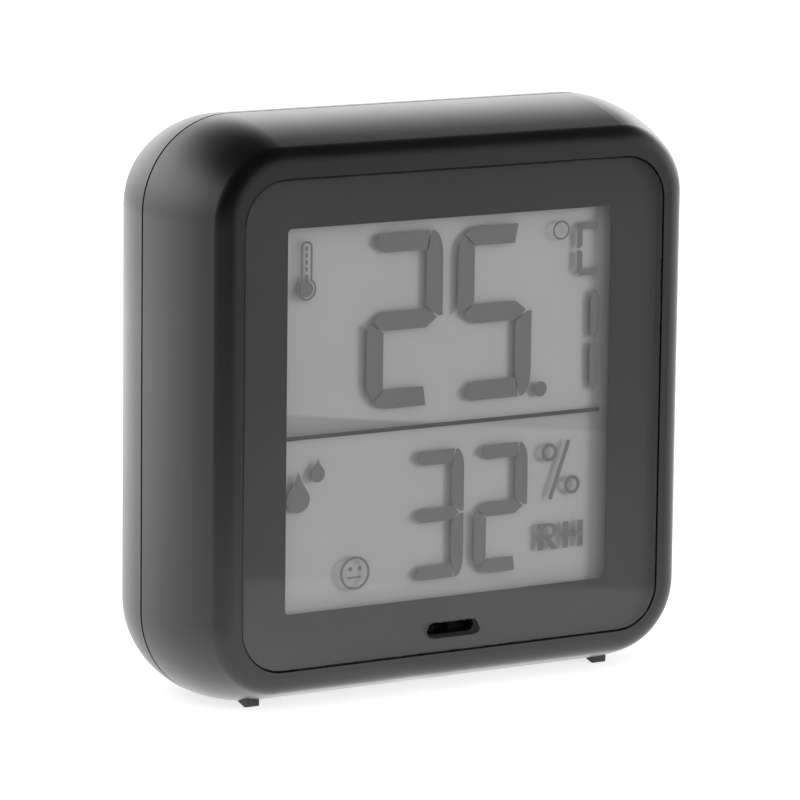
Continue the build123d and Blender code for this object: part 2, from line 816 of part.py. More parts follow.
# Rear cover
with BuildPart() as rear_cover:
    add(rear_outer)
    add(rear_hollow.part, mode=Mode.SUBTRACT)
    add(rear_groove, mode=Mode.SUBTRACT)
    add(lip.part)
    with BuildSketch(facing(seam_y)):
        with Locations((0, bay_z)):
            Rectangle(2 * (bay_half_width + bay_wall), 2 * (bay_half_height + bay_wall))
    extrude(amount=bay_front_block_depth)
    # Flat base
    with BuildSketch(Plane.XY.offset(base_z)):
        Rectangle(body_width, body_depth)
    extrude(amount=-overrun, mode=Mode.SUBTRACT)
    # Battery bay and the opening for its door
    with BuildSketch(facing(back_y)):
        with Locations((0, bay_z)):
            Rectangle(2 * bay_half_width, 2 * bay_half_height)
    extrude(amount=back_y - bay_floor_y, mode=Mode.SUBTRACT)
    with BuildSketch(facing(back_y)):
        with Locations((0, bay_z)):
            Rectangle(2 * (door_half_width + door_gap), 2 * (door_half_height + door_gap))
    extrude(amount=wall, mode=Mode.SUBTRACT)
    # Holes for the door's moulded pins
    with BuildSketch(Plane.XY.offset(bay_z - door_half_height - door_gap - door_pin_length)):
        with Locations((door_axis_x, door_axis_y)):
            Circle(door_pin_radius + door_pin_gap)
    extrude(amount=2 * (door_half_height + door_gap + door_pin_length), mode=Mode.SUBTRACT)
    # Slits for the contact tabs
    with BuildSketch(facing(bay_floor_y)):
        with Locations((0, bay_z)):
            with GridLocations(contact_outer_x + contact_inner_x, 0, 2, 1):
                Rectangle(contact_thickness + bay_end_gap, tab_width + 2 * tab_gap)
    extrude(amount=bay_floor, mode=Mode.SUBTRACT)
    # Thumb dip beside the free end of the door
    with BuildSketch(facing(back_y)):
        with Locations((door_half_width + nail_shift, bay_z)):
            Circle(nail_radius)
    extrude(amount=nail_depth, mode=Mode.SUBTRACT)
    # Pocket for the leg, with a dip under its tip and the holes for its pin
    with BuildSketch(facing(back_y)):
        with Locations((0, (pocket_top + pocket_bottom) / 2)):
            pocket = Rectangle(2 * pocket_half_width, pocket_top - pocket_bottom)
        fillet(pocket.vertices().group_by(Axis.Y)[0], leg_tip_round + leg_side_gap)
    extrude(amount=pocket_depth, mode=Mode.SUBTRACT)
    with BuildSketch(facing(back_y)):
        with Locations((0, pocket_bottom + scoop_rise)):
            Circle(scoop_radius)
    extrude(amount=scoop_depth, mode=Mode.SUBTRACT)
    with BuildSketch(Plane.YZ.offset(-pocket_half_width - pocket_wall)):
        with Locations((leg_axis_y, leg_axis_z)):
            Circle(leg_pin_radius)
    extrude(amount=2 * (pocket_half_width + pocket_wall), mode=Mode.SUBTRACT)
    # Button hole, magnet seats and hanging hole
    with BuildSketch(facing(back_y)):
        with Locations((button_x, button_z)):
            Circle(button_radius + button_gap)
        with Locations((0, keyhole_z)):
            Circle(keyhole_head_radius)
        with Locations((0, keyhole_z + keyhole_rise)):
            Circle(keyhole_neck_radius)
        with Locations((0, keyhole_z + keyhole_rise / 2)):
            Rectangle(2 * keyhole_neck_radius, keyhole_rise)
    extrude(amount=wall, mode=Mode.SUBTRACT)
    with BuildSketch(facing(inner_back_y + magnet_sink)):
        with Locations((-magnet_x, magnet_z), (magnet_x, magnet_z)):
            Circle(magnet_radius + magnet_gap)
    extrude(amount=magnet_sink, mode=Mode.SUBTRACT)
    # Case screw holes
    with BuildSketch(facing(back_y)):
        with Locations(*case_screw_places):
            Circle(case_screw_head_radius + head_gap)
    extrude(amount=back_y - head_y, mode=Mode.SUBTRACT)
    with BuildSketch(facing(head_y)):
        with Locations(*case_screw_places):
            Circle(case_screw_radius + screw_gap)
    extrude(amount=case_screw_grip, mode=Mode.SUBTRACT)
    # Pockets for the rear feet
    with BuildSketch(Plane.XY.offset(base_z + foot_embed)):
        with Locations(
            (-foot_x, front_y + rear_foot_depth + foot_length / 2),
            (foot_x, front_y + rear_foot_depth + foot_length / 2),
        ):
            Rectangle(foot_width, foot_length)
    extrude(amount=-overrun, mode=Mode.SUBTRACT)
rear_cover.part.label = "rear_cover"
export_step(rear_cover.part, "parts/rear_cover.step")

# Battery door, rounded at the end that turns, with a moulded pin above and below
with BuildPart() as battery_door:
    with BuildSketch(facing(back_y)):
        with Locations(((door_half_width + door_axis_x) / 2, bay_z)):
            Rectangle(door_half_width - door_axis_x, 2 * door_half_height)
    extrude(amount=door_thickness)
    with BuildSketch(Plane.XY.offset(bay_z - door_half_height)):
        with Locations((door_axis_x, door_axis_y)):
            Circle(door_thickness / 2)
    extrude(amount=2 * door_half_height)
    with BuildSketch(Plane.XY.offset(bay_z - door_half_height - door_pin_length)):
        with Locations((door_axis_x, door_axis_y)):
            Circle(door_pin_radius)
    extrude(amount=2 * (door_half_height + door_pin_length))
    # Grip grooves near the free end
    with BuildSketch(facing(back_y)):
        with Locations((door_half_width - grip_end - grip_pitch * grip_count / 2, bay_z)):
            with GridLocations(grip_pitch, 0, grip_count, 1):
                SlotOverall(door_half_height, grip_width, rotation=90)
    extrude(amount=grip_depth, mode=Mode.SUBTRACT)
battery_door.part.label = "battery_door"
export_step(battery_door.part, "parts/battery_door.step")

# Fold-out leg, with a barrel at the top and a shallow hollow in its outer face. The heel above the barrel
# meets the floor of the pocket when the leg is fully out. The tip follows the rounded lower edge of the case.
with BuildPart() as stand_leg:
    with BuildSketch(facing(leg_back_y)):
        with Locations((0, (leg_axis_z + leg_heel + leg_tip_z) / 2)):
            plate = Rectangle(leg_width, leg_length + leg_heel)
        fillet(plate.vertices().group_by(Axis.Y)[0], leg_tip_round)
    extrude(amount=leg_thickness)
    add(leg_form, mode=Mode.INTERSECT)
    with BuildSketch(Plane.YZ.offset(-leg_width / 2)):
        with Locations((leg_axis_y, leg_axis_z)):
            Circle(barrel_radius)
    extrude(amount=leg_width)
    with BuildSketch(facing(leg_back_y)):
        with Locations((0, (leg_axis_z - leg_hollow_rim + leg_tip_z + leg_tip_pad) / 2)):
            RectangleRounded(
                leg_width - 2 * leg_hollow_rim,
                leg_length - leg_hollow_rim - leg_tip_pad,
                leg_hollow_rim / 2,
            )
    extrude(amount=leg_hollow_depth, mode=Mode.SUBTRACT)
    with BuildSketch(Plane.YZ.offset(-leg_width / 2)):
        with Locations((leg_axis_y, leg_axis_z)):
            Circle(leg_pin_radius + leg_pin_gap)
    extrude(amount=leg_width, mode=Mode.SUBTRACT)
stand_leg.part.label = "stand_leg"
export_step(stand_leg.part, "parts/stand_leg.step")

with BuildPart() as stand_pin:
    with BuildSketch(Plane.YZ.offset(-pocket_half_width - pocket_wall)):
        with Locations((leg_axis_y, leg_axis_z)):
            Circle(leg_pin_radius)
    extrude(amount=2 * (pocket_half_width + pocket_wall))
stand_pin.part.label = "stand_pin"
export_step(stand_pin.part, "parts/stand_pin.step")

with BuildPart() as magnets:
    with BuildSketch(facing(inner_back_y + magnet_sink)):
        with Locations((-magnet_x, magnet_z), (magnet_x, magnet_z)):
            Circle(magnet_radius)
    extrude(amount=magnet_thickness)
magnets.part.label = "magnets"
export_step(magnets.part, "parts/magnets.step")

# Self-tapping case screws, put in from the back
with BuildPart() as case_screws:
    with BuildSketch(facing(head_y)):
        with Locations(*case_screw_places):
            Circle(case_screw_radius)
    extrude(amount=case_screw_grip + case_screw_reach)
    with BuildSketch(facing(head_y + case_screw_head)):
        with Locations(*case_screw_places):
            Circle(case_screw_head_radius)
    extrude(amount=case_screw_head)
    with BuildSketch(facing(head_y + case_screw_head)):
        with Locations(*case_screw_places):
            Rectangle(case_screw_head_radius, case_screw_radius / 2)
            Rectangle(case_screw_radius / 2, case_screw_head_radius)
    extrude(amount=case_screw_head / 2, mode=Mode.SUBTRACT)
case_screws.part.label = "case_screws"
export_step(case_screws.part, "parts/case_screws.step")


def feet(depth):
    """Two ramped feet whose fronts lie at that depth: upright in front, flat below, rising to the back."""
    nose_y = front_y + depth
    with BuildPart() as pair:
        with BuildSketch(Plane.YZ.offset(foot_x - foot_width / 2)):
            with BuildLine():
                Polyline(
                    (nose_y, base_z + foot_embed),
                    (nose_y, 0),
                    (nose_y + foot_flat, 0),
                    (nose_y + foot_length, base_z),
                    (nose_y + foot_length, base_z + foot_embed),
                    close=True,
                )
            make_face()
        extrude(amount=foot_width)
        tread = pair.faces().sort_by(Axis.Z)[0]
        fillet(tread.edges().sort_by(Axis.Y)[0], foot_round)
        mirror(about=Plane.YZ)
    return pair


front_feet = feet(front_foot_depth)
front_feet.part.label = "front_feet"
export_step(front_feet.part, "parts/front_feet.step")

rear_feet = feet(rear_foot_depth)
rear_feet.part.label = "rear_feet"
export_step(rear_feet.part, "parts/rear_feet.step")
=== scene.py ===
# %% [markdown]
# # A small indoor climate display
# The object is a palm-sized temperature and humidity sensor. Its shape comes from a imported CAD
# model, which stays exactly as it is. This lesson gives that model its finishes, adds what a CAD
# model leaves out, such as the display's symbols, and sets up the studio and the camera. The model
# is loaded first, because everything else is placed by it.

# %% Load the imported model
import math

import bmesh
import bpy
from mathutils import Matrix, Vector


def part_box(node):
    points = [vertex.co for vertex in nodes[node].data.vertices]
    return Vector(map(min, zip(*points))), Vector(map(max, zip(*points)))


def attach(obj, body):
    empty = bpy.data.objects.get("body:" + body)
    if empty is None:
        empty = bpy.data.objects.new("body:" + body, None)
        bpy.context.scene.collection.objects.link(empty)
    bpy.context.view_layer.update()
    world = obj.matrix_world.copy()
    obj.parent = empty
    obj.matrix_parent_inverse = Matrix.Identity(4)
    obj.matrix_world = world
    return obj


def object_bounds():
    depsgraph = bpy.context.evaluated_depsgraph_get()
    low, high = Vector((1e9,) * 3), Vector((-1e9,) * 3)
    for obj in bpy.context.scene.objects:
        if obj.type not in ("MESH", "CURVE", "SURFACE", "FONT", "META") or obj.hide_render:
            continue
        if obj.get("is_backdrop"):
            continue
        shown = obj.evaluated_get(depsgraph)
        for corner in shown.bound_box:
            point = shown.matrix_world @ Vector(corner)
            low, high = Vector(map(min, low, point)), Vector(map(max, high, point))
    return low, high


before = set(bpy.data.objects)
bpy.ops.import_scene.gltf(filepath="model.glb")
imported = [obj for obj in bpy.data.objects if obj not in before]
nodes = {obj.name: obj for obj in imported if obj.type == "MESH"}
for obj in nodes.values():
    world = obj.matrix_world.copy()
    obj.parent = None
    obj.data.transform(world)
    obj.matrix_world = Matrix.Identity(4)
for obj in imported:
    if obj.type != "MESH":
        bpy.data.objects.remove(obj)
cad_low, cad_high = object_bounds()
MM = 0.001
print("pieces in the model:", len(nodes), "size in mm:", [round(v / MM, 2) for v in cad_high - cad_low])

# %% [markdown]
# ## The camera
# A photograph of a product is usually taken with a long lens, which keeps parallel edges nearly
# parallel. The place and the three angles of this camera were worked out from the edges of the case
# and of its panel. The camera is built from the angles, so that each one can be read and changed.

# %% Camera
CAMERA_PLACE = Vector((-301.77, -489.98, 133.29)) * MM
CAMERA_YAW, CAMERA_PITCH, CAMERA_ROLL = (math.radians(a) for a in (31.61, 10.05, 0.70))
FOCAL_PX = 3389.07
FRAME_PX = 520.0
SENSOR = 36.0

ahead = Vector((
    math.sin(CAMERA_YAW) * math.cos(CAMERA_PITCH),
    math.cos(CAMERA_YAW) * math.cos(CAMERA_PITCH),
    -math.sin(CAMERA_PITCH),
))
level_right = Vector((math.cos(CAMERA_YAW), -math.sin(CAMERA_YAW), 0))
level_up = level_right.cross(ahead)
right = math.cos(CAMERA_ROLL) * level_right + math.sin(CAMERA_ROLL) * level_up
up = right.cross(ahead)

lens = bpy.data.cameras.new("camera")
lens.sensor_width = SENSOR
lens.lens = SENSOR * FOCAL_PX / FRAME_PX
lens.clip_start, lens.clip_end = 0.01, 100
camera = bpy.data.objects.new("camera", lens)
turn = Matrix((right, up, -ahead)).transposed().to_4x4()
camera.matrix_world = Matrix.Translation(CAMERA_PLACE) @ turn
bpy.context.scene.collection.objects.link(camera)
bpy.context.scene.camera = camera
bpy.context.scene.view_settings.view_transform = "Standard"
bpy.context.scene.cycles.transparent_max_bounces = 24
print("lens in mm:", round(lens.lens, 1))

# %% [markdown]
# ## Writing finishes as sums
# A finish is a tree of shader nodes. Wiring it by hand hides the idea behind it, so a small class
# wraps one output socket and lets it be added, multiplied and so on. A second class holds one
# material, and makes any other node from its kind, its settings and its inputs. Places are in
# millimetres of the object's own frame.

# %% A socket that can be reckoned with
class Wire:
    """One output socket. Sums of wires and numbers add Math nodes to the same tree."""

    def __init__(self, finish, socket):
        self.finish, self.socket = finish, socket

    def reckon(self, operation, first, second):
        return self.finish.node("Math", {"operation": operation}, {0: first, 1: second})["Value"]

    def __add__(self, other):
        return self.reckon("ADD", self, other)

    def __radd__(self, other):
        return self.reckon("ADD", other, self)

    def __sub__(self, other):
        return self.reckon("SUBTRACT", self, other)

    def __rsub__(self, other):
        return self.reckon("SUBTRACT", other, self)

    def __mul__(self, other):
        return self.reckon("MULTIPLY", self, other)

    def __rmul__(self, other):
        return self.reckon("MULTIPLY", other, self)


# %% A material and its tree
class Finish:
    """A material or a world whose nodes are made by the method node."""

    def __init__(self, name, owner=None):
        self.material = owner or bpy.data.materials.new(name)
        self.material.use_nodes = True
        self.tree = self.material.node_tree
        self.tree.nodes.clear()

    def node(self, kind, settings=None, inputs=None):
        """Adds one node: its settings, then the values or wires of its inputs. Gives its outputs."""
        made = self.tree.nodes.new("ShaderNode" + kind)
        for key, value in (settings or {}).items():
            setattr(made, key, value)
        for key, value in (inputs or {}).items():
            if isinstance(key, int):
                socket = made.inputs[key]
            else:
                socket = next(s for s in made.inputs if s.enabled and key in (s.identifier, s.name))
            if isinstance(value, Wire):
                self.tree.links.new(value.socket, socket)
            else:
                socket.default_value = value
        found = {}
        for socket in made.outputs:
            if socket.enabled:
                found.setdefault(socket.name, Wire(self, socket))
        return found

    def vector(self, operation, inputs):
        """A sum on whole vectors."""
        return self.node("VectorMath", {"operation": operation}, inputs)["Vector"]

    def place(self):
        """The place on the object, in millimetres."""
        where = self.node("TexCoord")["Object"]
        return self.vector("SCALE", {"Vector": where, "Scale": 1 / MM})

    def axes(self):
        """The place's three parts, X to the right, Y to the back and Z up."""
        parts = self.node("SeparateXYZ", {}, {"Vector": self.place()})
        return parts["X"], parts["Y"], parts["Z"]

    def cloud(self, size, detail=2.0, stretch=(1, 1, 1)):
        """Soft noise from 0 to 1, whose lumps are about size millimetres across."""
        where = self.vector("MULTIPLY", {0: self.place(), 1: stretch})
        made = self.node("TexNoise", {}, {"Vector": where, "Scale": 1 / size,
                                          "Detail": detail, "Roughness": 0.5})
        return next(iter(made.values()))

    def ramp(self, value, low, high):
        """0 below low, 1 above high, and a soft change between them."""
        return self.node("MapRange", {"interpolation_type": "SMOOTHSTEP"},
                         {"Value": value, "From Min": low, "From Max": high})["Result"]

    def band(self, value, low, high, soft):
        """1 between low and high, and 0 outside."""
        return self.ramp(value, low - soft, low + soft) * (1 - self.ramp(value, high - soft, high + soft))

    def blend(self, share, first, second):
        """A colour between two colours."""
        return self.node("Mix", {"data_type": "RGBA"},
                         {"Factor_Float": share, "A_Color": first, "B_Color": second})["Result"]

    def bump(self, height, depth):
        """A normal tilted by a height pattern that is depth millimetres deep."""
        return self.node("Bump", {}, {"Height": height, "Distance": depth * MM})["Normal"]

    def surface(self, **sockets):
        """The finish's shader. An underscore in a socket's name stands for a space."""
        named = {key.replace("_", " "): value for key, value in sockets.items()}
        return self.node("BsdfPrincipled", {}, named)["BSDF"]

    def level(self, value):
        """A neutral colour as bright as value."""
        return self.node("CombineColor", {}, {"Red": value, "Green": value, "Blue": value})["Color"]

    def larger(self, first, second):
        return self.node("Math", {"operation": "MAXIMUM"}, {0: first, 1: second})["Value"]

    def done(self, shader):
        """Wires the shader to the output and gives the material."""
        kind = "OutputWorld" if isinstance(self.material, bpy.types.World) else "OutputMaterial"
        self.node(kind, {}, {"Surface": shader})
        return self.material


def grey(level, warm=0.0):
    """A neutral colour, a little warmer where warm is above zero."""
    return (level * (1 + warm), level, level * (1 - warm), 1)


# %% [markdown]
# ## Satin moulded plastic
# The case, the battery door and the leg are moulded in black plastic. The mould has a fine
# spark-eroded grain, which turns a hard gloss into a satin sheen, and the plastic flows unevenly,
# so tone and sheen drift a little over the part. Two noises of very different size give both, and
# the fine one also drives the bump.

# %% Satin plastic
GRAIN, GRAIN_DEPTH = 0.16, 0.004


def satin_plastic(name, shade, sheen):
    made = Finish(name)
    flow, pits = made.cloud(13, 3), made.cloud(GRAIN, 1)
    colour = made.blend(flow * 0.6 + pits * 0.4, grey(shade * 0.7), grey(shade * 1.3))
    roughness = sheen + (flow - 0.5) * 0.06 + (pits - 0.5) * 0.12
    return made.done(made.surface(Base_Color=colour, Roughness=roughness,
                                  Normal=made.bump(pits, GRAIN_DEPTH)))


case_finish = satin_plastic("case_satin_black", 0.0045, 0.33)
cover_finish = satin_plastic("cover_satin_black", 0.006, 0.34)
door_finish = satin_plastic("door_satin_black", 0.008, 0.33)
leg_finish = satin_plastic("leg_satin_black", 0.008, 0.33)
print("satin plastics ready")

# %% [markdown]
# ## Clear sheets
# The panel, the polariser and the two plates of the display cell are flat and clear. They don't
# bend what is seen through them by much, so each is a mix of a clear shader and a mirror, with the
# mirror's share from Fresnel. Only the outer side of each wall mirrors, because a ray that leaves
# the sheet must not be thrown back by the other side.

# %% Clear sheets
def clear_sheet(name, tint, mirror, roughness, haze=0.0):
    made = Finish(name)
    smear, ripple = made.cloud(11, 3), made.cloud(4.5, 1)
    outer = 1 - made.node("NewGeometry")["Backfacing"]
    shine = made.node("Fresnel", {}, {"IOR": 1.49})["Fac"] * outer * mirror
    through = made.node("BsdfTransparent", {}, {"Color": grey(tint)})["BSDF"]
    gloss = made.surface(Base_Color=made.blend(smear, grey(0.92), grey(0.98)), Metallic=1.0,
                         Roughness=roughness + smear * 0.02, Normal=made.bump(ripple, 0.0006))
    share = shine + smear * outer * haze
    return made.done(made.node("MixShader", {}, {0: share, 1: through, 2: gloss})["Shader"])


panel_finish = clear_sheet("panel_clear", 0.955, 1.0, 0.035, 0.006)
polariser_finish = clear_sheet("polariser_film", 0.97, 0.25, 0.12)
plate_finish = clear_sheet("cell_plate", 0.99, 0.06, 0.05)
print("clear sheets ready")

# %% [markdown]
# ## The print, the reflector and the symbols' ink
# Behind the panel a dark print hides all but the window. The display's ground is a satin metal-like
# film, which looks grey by room light, with a fine grain. Painted shade darkens the film in a soft
# wedge above the dividing line and in a band below its right part, standing in for the line's shadow.
# The symbols are dark areas of the cell itself, not quite even in tone, and the dividing line has a
# darker ink of its own.

# %% Print, reflector and ink
def printed(name, shade, roughness):
    made = Finish(name)
    dots, wash = made.cloud(0.4, 1), made.cloud(18, 2)
    colour = made.blend(wash * 0.7 + dots * 0.3, grey(shade * 0.93), grey(shade * 1.07))
    return made.done(made.surface(Base_Color=colour, Roughness=roughness + (dots - 0.5) * 0.1,
                                  Normal=made.bump(dots, 0.0003), Specular_IOR_Level=0.1))


print_finish = printed("panel_print", 0.027, 0.6)
symbol_finish = printed("symbol_ink", 0.185, 0.6)
divider_finish = printed("divider_ink", 0.075, 0.6)

lens_low, lens_high = (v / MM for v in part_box("display_lens"))
CENTRE_Z = (lens_low.z + lens_high.z) / 2
WINDOW_LEFT, DIVIDER_Z = -21, -1.8
# Where the painted shade along the dividing line lies and how dark it is: a slanted edge and three shares
SLANT_HEIGHT, SLANT_FALL = 2.7, 0.13
WEDGE_SHADE, WEDGE_FADE, UNDER_SHADE = 0.82, 0.14, 0.30

film = Finish("reflector_film")
x, _, z = film.axes()
grains, wash = film.cloud(0.09, 1), film.cloud(16, 2)
over = z - (CENTRE_Z + DIVIDER_Z)
slant = SLANT_HEIGHT - SLANT_FALL * (x - WINDOW_LEFT)
over_line, over_slant = film.ramp(over, -0.15, 0.1), film.ramp(over - slant, -0.25, 0.25)
# Painted shade: darker just above the dividing line, fading upwards, and in a band below the line's right
# part
wedge = over_line * (1 - over_slant) * (WEDGE_SHADE - over * WEDGE_FADE)
painted_shade = wedge + over_slant * (1 - over_line) * UNDER_SHADE
tone = film.blend(wash * 0.6 + grains * 0.4, grey(0.50, 0.004), grey(0.55, 0.004))
ground = film.blend(painted_shade, tone, grey(0.28))
reflector_finish = film.done(film.surface(Base_Color=ground, Roughness=0.55 + (grains - 0.5) * 0.2,
                                          Normal=film.bump(grains, 0.002)))
print("display centre at height in mm:", round(CENTRE_Z, 2))

# %% [markdown]
# ## Metals, rubber and the parts inside
# Screws, contacts and pins are small plated parts whose scratches run one way, so their noise is
# stretched along one axis. Rubber is dull with a fine bloom. The circuit board, the cell's sleeve
# and the ceramic parts carry patterns that say what they are, even though they show only when the
# battery door is open or the case is apart.

# %% Plated metal, rubber and ceramic
def plated_metal(name, level, warm, roughness, stretch=(1, 1, 1)):
    made = Finish(name)
    lines, spots = made.cloud(0.25, 3, stretch), made.cloud(1.8, 3)
    colour = made.blend(spots * 0.5 + lines * 0.5, grey(level * 0.82, warm), grey(level * 1.08, warm))
    return made.done(made.surface(Base_Color=colour, Metallic=1.0, Normal=made.bump(lines, 0.003),
                                  Roughness=roughness + (lines - 0.5) * 0.22 + (spots - 0.5) * 0.1))


def soft_rubber(name, level, grain=0.3, gloss=0.5):
    made = Finish(name)
    bloom, pits = made.cloud(2.5, 3), made.cloud(grain, 2)
    colour = made.blend(bloom * 0.6 + pits * 0.4, grey(level * 0.75), grey(level * 1.35))
    return made.done(made.surface(Base_Color=colour, Roughness=0.68 + (pits - 0.5) * 0.2,
                                  Normal=made.bump(pits, 0.01), Specular_IOR_Level=gloss))


def moulded(name, dark, pale, roughness, grain=0.2, depth=0.006, gloss=0.5):
    """A plain coloured moulding, ceramic or resin, between two colours."""
    made = Finish(name)
    flow, pits = made.cloud(3, 3), made.cloud(grain, 2)
    colour = made.blend(flow * 0.6 + pits * 0.4, (*dark, 1), (*pale, 1))
    return made.done(made.surface(Base_Color=colour, Roughness=roughness + (pits - 0.5) * 0.15,
                                  Normal=made.bump(pits, depth), Specular_IOR_Level=gloss))


screw_finish = plated_metal("screw_zinc", 0.60, 0.01, 0.33)
contact_finish = plated_metal("contact_nickel", 0.68, 0.02, 0.30, (1, 1, 0.15))
pin_finish = plated_metal("pin_drawn_steel", 0.60, 0.0, 0.28, (0.1, 1, 1))
magnet_finish = plated_metal("magnet_nickel", 0.74, 0.01, 0.16)
crystal_finish = plated_metal("crystal_can", 0.72, 0.01, 0.25, (0.2, 1, 1))
foot_finish = soft_rubber("foot_rubber", 0.03)
button_finish = soft_rubber("button_rubber", 0.15)
gasket_finish = soft_rubber("gasket_foam", 0.006, 0.5, 0.05)
tape_finish = soft_rubber("tape_foam", 0.008, 0.25)
holder_finish = moulded("holder_white", (0.74, 0.74, 0.71), (0.86, 0.86, 0.84), 0.45)
switch_finish = moulded("switch_black", (0.045, 0.045, 0.045), (0.075, 0.075, 0.075), 0.45)
plunger_finish = moulded("plunger_red", (0.55, 0.09, 0.05), (0.72, 0.15, 0.10), 0.4)
resin_finish = moulded("chip_resin", (0.010, 0.010, 0.010), (0.022, 0.022, 0.022), 0.22, 0.8, 0.02)
capacitor_finish = moulded("capacitor_ceramic", (0.44, 0.33, 0.22), (0.58, 0.45, 0.32), 0.5)
resistor_finish = moulded("resistor_ceramic", (0.05, 0.05, 0.055), (0.08, 0.08, 0.085), 0.4)
sensor_finish = moulded("sensor_body", (0.008, 0.008, 0.008), (0.014, 0.014, 0.014), 0.6, gloss=0.05)
zebra_finish = moulded("zebra_silicone", (0.50, 0.46, 0.49), (0.62, 0.58, 0.61), 0.6)
carbon_finish = moulded("zebra_carbon", (0.015, 0.015, 0.015), (0.03, 0.03, 0.03), 0.6)
gold_finish = plated_metal("pad_gold", 0.62, 0.28, 0.28)

# %% Circuit board and battery sleeve
board = Finish("board_green")
weave, wash = board.cloud(0.5, 2), board.cloud(8, 2)
flat_on = {"Vector": board.place(), "Rotation": (math.radians(90), 0, 0)}
tracks = board.node("TexBrick", {"offset": 0.37, "squash": 1.6, "squash_frequency": 3},
                    {"Vector": board.node("Mapping", {}, flat_on)["Vector"], "Scale": 0.22,
                     "Mortar Size": 0.022, "Brick Width": 1.3, "Row Height": 0.3})["Fac"]
green = board.blend(wash * 0.6 + weave * 0.4, (0.010, 0.085, 0.035, 1), (0.018, 0.14, 0.06, 1))
board_colour = board.blend(tracks * 0.75, green, (0.05, 0.28, 0.12, 1))
board_finish = board.done(board.surface(Base_Color=board_colour, Roughness=0.28 + weave * 0.12,
                                        Normal=board.bump(weave * 0.4 + tracks, 0.02)))

cell_low, cell_high = (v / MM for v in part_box("battery_cell"))
sleeve = Finish("cell_sleeve")
x, _, _ = sleeve.axes()
scratches, wash = sleeve.cloud(0.3, 3, (0.15, 1, 1)), sleeve.cloud(9, 2)
RING_FROM, RING_TO, CAP_LENGTH, FOOT_LENGTH, EDGE_SOFT = 8.5, 3.2, 1.6, 0.5, 0.1
ring = sleeve.band(x, cell_high.x - RING_FROM, cell_high.x - RING_TO, EDGE_SOFT / 2)
cap = sleeve.ramp(x, cell_high.x - CAP_LENGTH, cell_high.x - CAP_LENGTH + EDGE_SOFT)
foot = 1 - sleeve.ramp(x, cell_low.x + FOOT_LENGTH, cell_low.x + FOOT_LENGTH + EDGE_SOFT)
metal_end = cap + foot
plain = sleeve.blend(wash * 0.6 + scratches * 0.4, grey(0.42), grey(0.54))
inked = sleeve.blend(ring, plain, (0.03, 0.05, 0.09, 1))
cell_finish = sleeve.done(sleeve.surface(
    Base_Color=sleeve.blend(metal_end, inked, grey(0.7, 0.01)), Metallic=0.25 + metal_end * 0.75,
    Roughness=0.32 + (scratches - 0.5) * 0.15, Normal=sleeve.bump(scratches, 0.003)))
print("inner finishes ready")

# %% [markdown]
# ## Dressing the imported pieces
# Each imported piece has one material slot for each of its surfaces. Putting a finish in every slot
# keeps the mesh as it was packed and changes only how it looks.

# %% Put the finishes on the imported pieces
FINISHES = {
    "front_shell": case_finish, "rear_cover": cover_finish,
    "battery_door": door_finish, "stand_leg": leg_finish,
    "display_lens": panel_finish, "lens_mask": print_finish, "lens_tape": tape_finish,
    "lcd_front_polariser": polariser_finish, "lcd_front_glass": plate_finish,
    "lcd_rear_glass": plate_finish, "lcd_reflector": reflector_finish,
    "lcd_holder": holder_finish, "zebra_connector": zebra_finish,
    "circuit_board": board_finish, "board_screws": screw_finish, "case_screws": screw_finish,
    "controller_chip": resin_finish, "quartz_crystal": crystal_finish,
    "board_capacitors": capacitor_finish, "board_resistors": resistor_finish,
    "climate_sensor": sensor_finish, "sensor_gasket": gasket_finish,
    "unit_switch": switch_finish, "switch_plunger": plunger_finish, "unit_button": button_finish,
    "battery_cell": cell_finish,
    "positive_contact": contact_finish, "negative_contact": contact_finish,
    "stand_pin": pin_finish, "magnets": magnet_finish,
    "front_feet": foot_finish, "rear_feet": foot_finish,
}
for name, packed in nodes.items():
    packed.data.materials.clear()
    packed.data.materials.append(FINISHES[name])
print("dressed:", len(nodes))

# %% [markdown]
# ## Flat shapes between the plates
# The symbols are flat areas in the film between the two plates. Each is drawn as an outline and
# given a hair's thickness, so that lamps really throw its shadow on the film behind it, as in the
# real display. An outline is a list of points, seen from the front, in millimetres from the panel's
# centre. A ring is a pair of outlines.

# %% Outlines
def arc(x, z, radius, start, end, steps=8):
    """Points on an arc. Angles are in degrees, from the right towards the top."""
    turns = [math.radians(start + (end - start) * i / steps) for i in range(steps + 1)]
    return [(x + radius * math.cos(t), z + radius * math.sin(t)) for t in turns]


def disc(x, z, radius, steps=28):
    return arc(x, z, radius, 0, 360, steps)[:-1]


def ring_shape(x, z, radius, stroke):
    return disc(x, z, radius), disc(x, z, radius - stroke)


def stroke_shape(x0, z0, x1, z1, width):
    """A straight stroke from one point to the other."""
    length = math.hypot(x1 - x0, z1 - z0)
    side_x, side_z = (z0 - z1) / length * width / 2, (x1 - x0) / length * width / 2
    ends = ((x0, z0, 1), (x1, z1, 1), (x1, z1, -1), (x0, z0, -1))
    return [(x + way * side_x, z + way * side_z) for x, z, way in ends]


# %% [markdown]
# ## Digits
# A digit has seven segments, named A to G, clockwise from the top with G in the middle. Here the
# columns take the whole round corner on the right, and on the left a mitre splits it. Free ends are
# pointed on the left and cut on the right. One function draws any digit of any size, so the large
# and the small figures share one style.

# %% Seven segments
# All of these are shares of the stroke
ROUND_SHARE, SLOPE_SHARE = 1.35, 0.62
MITRE_OUT_SHARE, MITRE_IN_SHARE = 0.72, 0.95
POINT_SHARES = (1.02, 0.47, 0.8)
CUT_SHARES = {"A": (0.88, 1.10), "D": (0.96, 1.12)}
WAIST_RIGHT_SHARE, WAIST_LEFT_SHARE, WAIST_SHARE = 0.25, 0.15, 0.3


